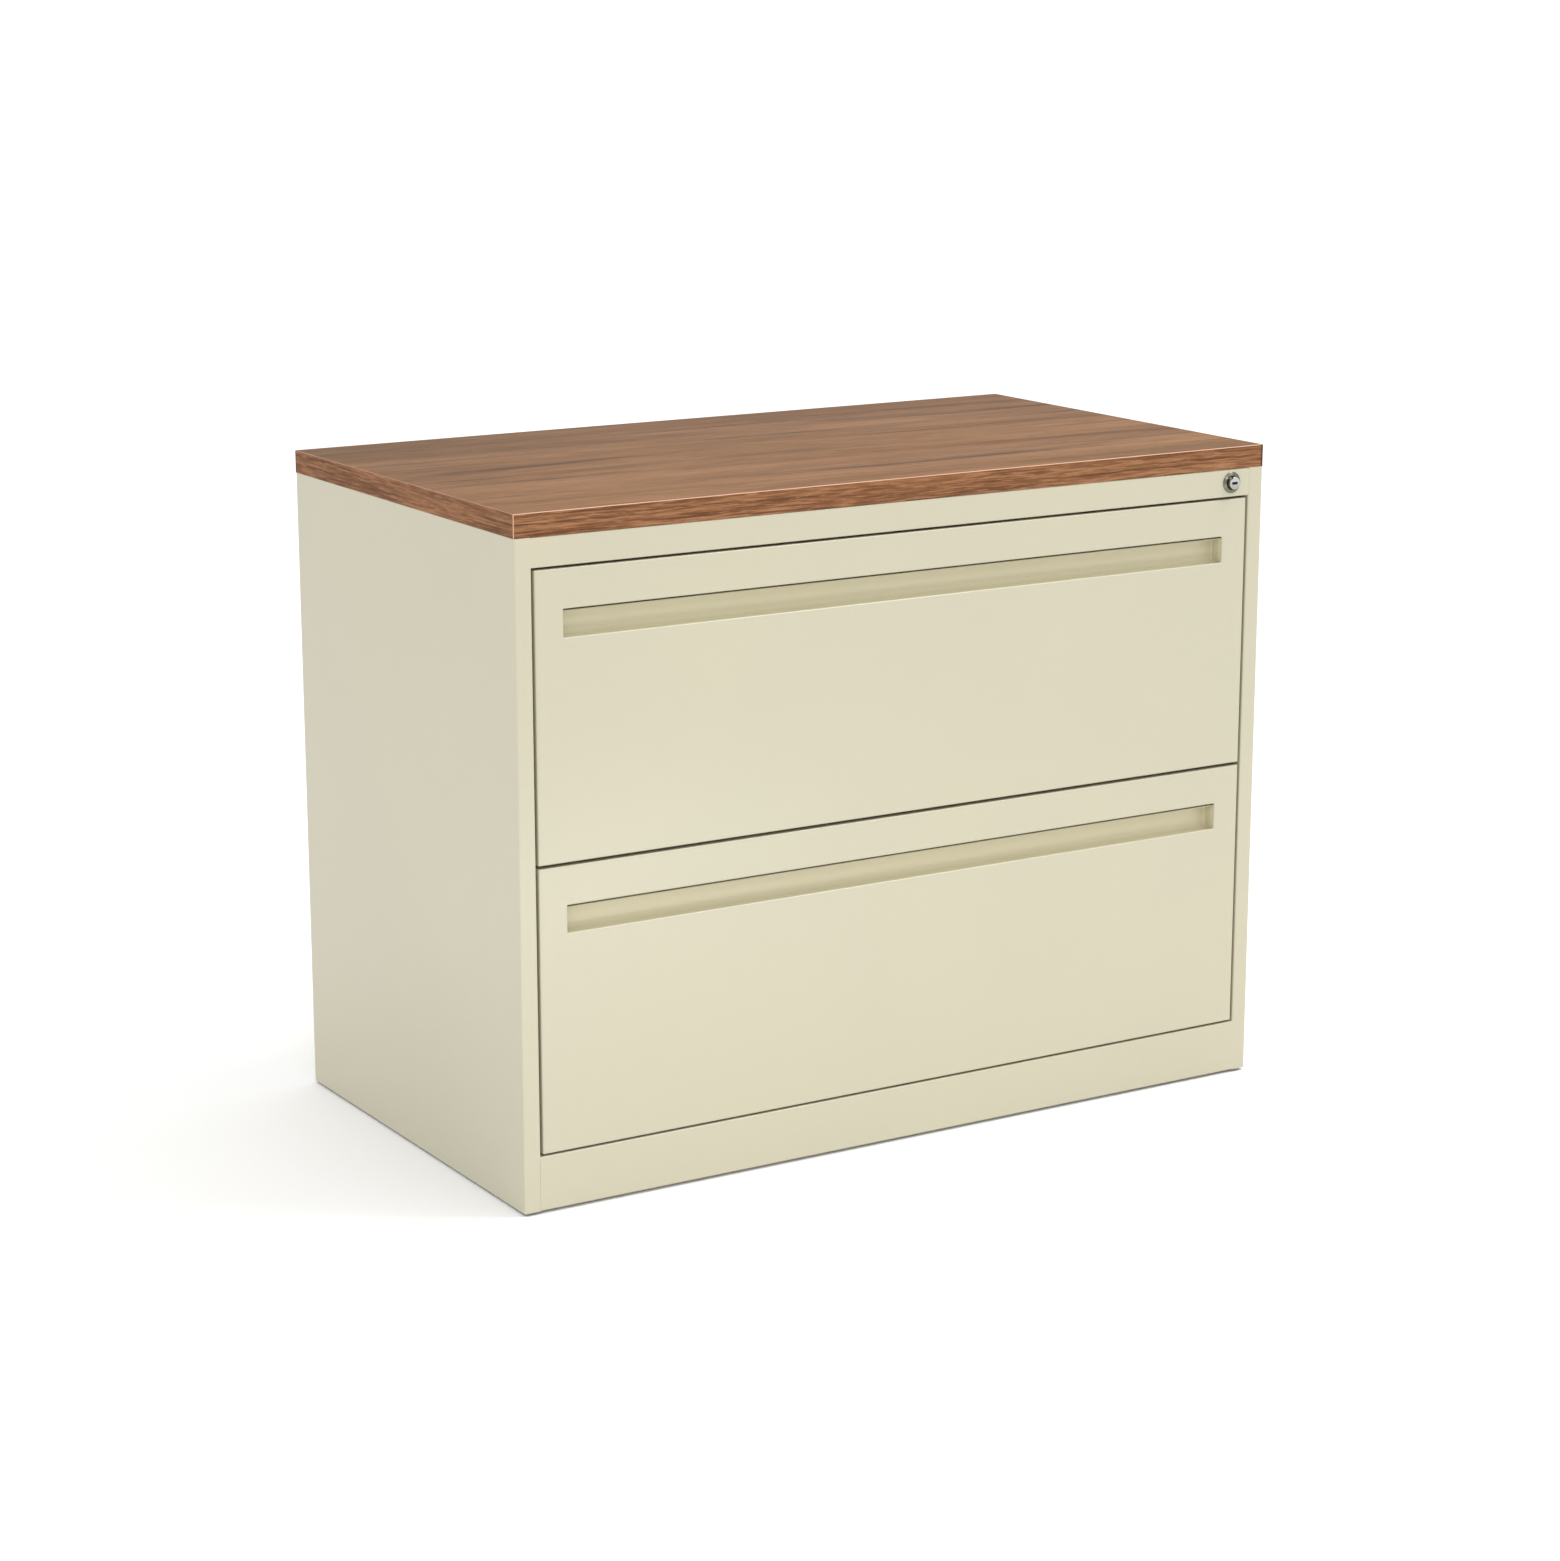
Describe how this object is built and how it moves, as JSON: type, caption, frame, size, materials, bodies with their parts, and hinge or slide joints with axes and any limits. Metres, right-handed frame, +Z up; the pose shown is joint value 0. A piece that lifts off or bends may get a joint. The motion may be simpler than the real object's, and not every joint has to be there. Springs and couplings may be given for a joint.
{
  "type": "lateral file cabinet",
  "caption": "Low, wide office file cabinet: stacked full-width drawers with recessed pulls, folded putty-coloured steel case, wood-grain laminate top and a round key lock.",
  "frame": {"origin": "on the floor, under the middle of the worktop", "axes": "X along the width, +Y to the back panel, +Z up; the drawers open towards -Y"},
  "size_m": [0.9144, 0.5107, 0.7112],
  "materials": {
    "putty_paint": "fine-textured powder coat",
    "inner_paint": "powder coat",
    "bare_steel": "zinc plated",
    "bright_steel": "bright zinc",
    "nickel": "satin nickel plate",
    "weight_paint": "dark primer",
    "wood_laminate": "wood-grain laminate, matt",
    "wood_edge": "wood-grain edge band, matt",
    "rubber": "matt"
  },
  "bodies": {
    "case": {"left_side_panel": "putty_paint", "right_side_panel": "putty_paint", "back_panel": "putty_paint", "case_top_panel": "inner_paint", "case_floor_pan": "inner_paint", "top_rail": "putty_paint", "base_front_panel": "putty_paint", "left_uprights": "inner_paint", "right_uprights": "inner_paint", "corner_gussets": "bare_steel", "counterweight": "weight_paint", "counterweight_bolts": "bare_steel", "worktop": "wood_laminate", "front_edge_band": "wood_edge", "rear_edge_band": "wood_edge", "side_edge_bands": "wood_edge", "worktop_screws": "bare_steel", "lock_housing": "nickel", "lock_nut": "nickel", "lock_bar_guides": "bare_steel", "glide_nuts": "bare_steel", "top_slide_outer": "bright_steel", "bottom_slide_outer": "bright_steel", "top_slide_bumpers": "rubber", "bottom_slide_bumpers": "rubber"},
    "top_drawer": {"top_drawer_front": "putty_paint", "top_pull_pocket": "putty_paint", "top_front_liner": "inner_paint", "top_tub_bottom": "inner_paint", "top_tub_sides": "inner_paint", "top_tub_back": "inner_paint", "top_hang_rails": "bare_steel", "top_lock_catch": "bare_steel", "top_drawer_screws": "bare_steel", "top_slide_inner": "bright_steel"},
    "top_middle_members": {"top_slide_middle": "bright_steel"},
    "top_outer_cages": {"top_outer_ball_cages": "bright_steel"},
    "top_inner_cages": {"top_inner_ball_cages": "bright_steel"},
    "bottom_drawer": {"bottom_drawer_front": "putty_paint", "bottom_pull_pocket": "putty_paint", "bottom_front_liner": "inner_paint", "bottom_tub_bottom": "inner_paint", "bottom_tub_sides": "inner_paint", "bottom_tub_back": "inner_paint", "bottom_hang_rails": "bare_steel", "bottom_lock_catch": "bare_steel", "bottom_drawer_screws": "bare_steel", "bottom_slide_inner": "bright_steel"},
    "bottom_middle_members": {"bottom_slide_middle": "bright_steel"},
    "bottom_outer_cages": {"bottom_outer_ball_cages": "bright_steel"},
    "bottom_inner_cages": {"bottom_inner_ball_cages": "bright_steel"},
    "lock_cylinder": {"lock_plug": "nickel", "lock_cam": "bare_steel", "lock_cam_screw": "bare_steel"},
    "lock_bar": {"lock_bar": "bare_steel", "lock_hooks": "bare_steel"},
    "front_left_glide": {"front_left_glide": "bare_steel"},
    "front_right_glide": {"front_right_glide": "bare_steel"},
    "rear_left_glide": {"rear_left_glide": "bare_steel"},
    "rear_right_glide": {"rear_right_glide": "bare_steel"}
  },
  "joints": [
    {"name": "top_drawer_slide", "type": "slide", "parent": "case", "child": "top_drawer", "axis": [0, -1, 0], "range_m": [0, 0.4318]},
    {"name": "top_middle_slide", "type": "slide", "parent": "case", "child": "top_middle_members", "axis": [0, -1, 0], "range_m": [0, 0.2159]},
    {"name": "top_outer_cage_slide", "type": "slide", "parent": "case", "child": "top_outer_cages", "axis": [0, -1, 0], "range_m": [0, 0.10795]},
    {"name": "top_inner_cage_slide", "type": "slide", "parent": "case", "child": "top_inner_cages", "axis": [0, -1, 0], "range_m": [0, 0.32385]},
    {"name": "bottom_drawer_slide", "type": "slide", "parent": "case", "child": "bottom_drawer", "axis": [0, -1, 0], "range_m": [0, 0.4318]},
    {"name": "bottom_middle_slide", "type": "slide", "parent": "case", "child": "bottom_middle_members", "axis": [0, -1, 0], "range_m": [0, 0.2159]},
    {"name": "bottom_outer_cage_slide", "type": "slide", "parent": "case", "child": "bottom_outer_cages", "axis": [0, -1, 0], "range_m": [0, 0.10795]},
    {"name": "bottom_inner_cage_slide", "type": "slide", "parent": "case", "child": "bottom_inner_cages", "axis": [0, -1, 0], "range_m": [0, 0.32385]},
    {"name": "lock_turn", "type": "hinge", "parent": "case", "child": "lock_cylinder", "pos_m": [0.4147, -0.254, 0.6727], "axis": [0, -1, 0], "range_deg": [0, 90]},
    {"name": "lock_bar_lift", "type": "slide", "parent": "case", "child": "lock_bar", "axis": [0, 0, 1], "range_m": [0, 0.01415]},
    {"name": "front_left_glide_screw", "type": "slide", "parent": "case", "child": "front_left_glide", "axis": [0, 0, -1], "range_m": [0, 0.012]},
    {"name": "front_right_glide_screw", "type": "slide", "parent": "case", "child": "front_right_glide", "axis": [0, 0, -1], "range_m": [0, 0.012]},
    {"name": "rear_left_glide_screw", "type": "slide", "parent": "case", "child": "rear_left_glide", "axis": [0, 0, -1], "range_m": [0, 0.012]},
    {"name": "rear_right_glide_screw", "type": "slide", "parent": "case", "child": "rear_right_glide", "axis": [0, 0, -1], "range_m": [0, 0.012]}
  ],
  "couplings": [
    {"joint": "top_middle_slide", "follows": "top_drawer_slide", "ratio": 0.5},
    {"joint": "top_outer_cage_slide", "follows": "top_drawer_slide", "ratio": 0.25},
    {"joint": "top_inner_cage_slide", "follows": "top_drawer_slide", "ratio": 0.75},
    {"joint": "bottom_middle_slide", "follows": "bottom_drawer_slide", "ratio": 0.5},
    {"joint": "bottom_outer_cage_slide", "follows": "bottom_drawer_slide", "ratio": 0.25},
    {"joint": "bottom_inner_cage_slide", "follows": "bottom_drawer_slide", "ratio": 0.75},
    {"joint": "lock_turn", "follows": "lock_bar_lift", "rad_per_m": 111.01}
  ]
}
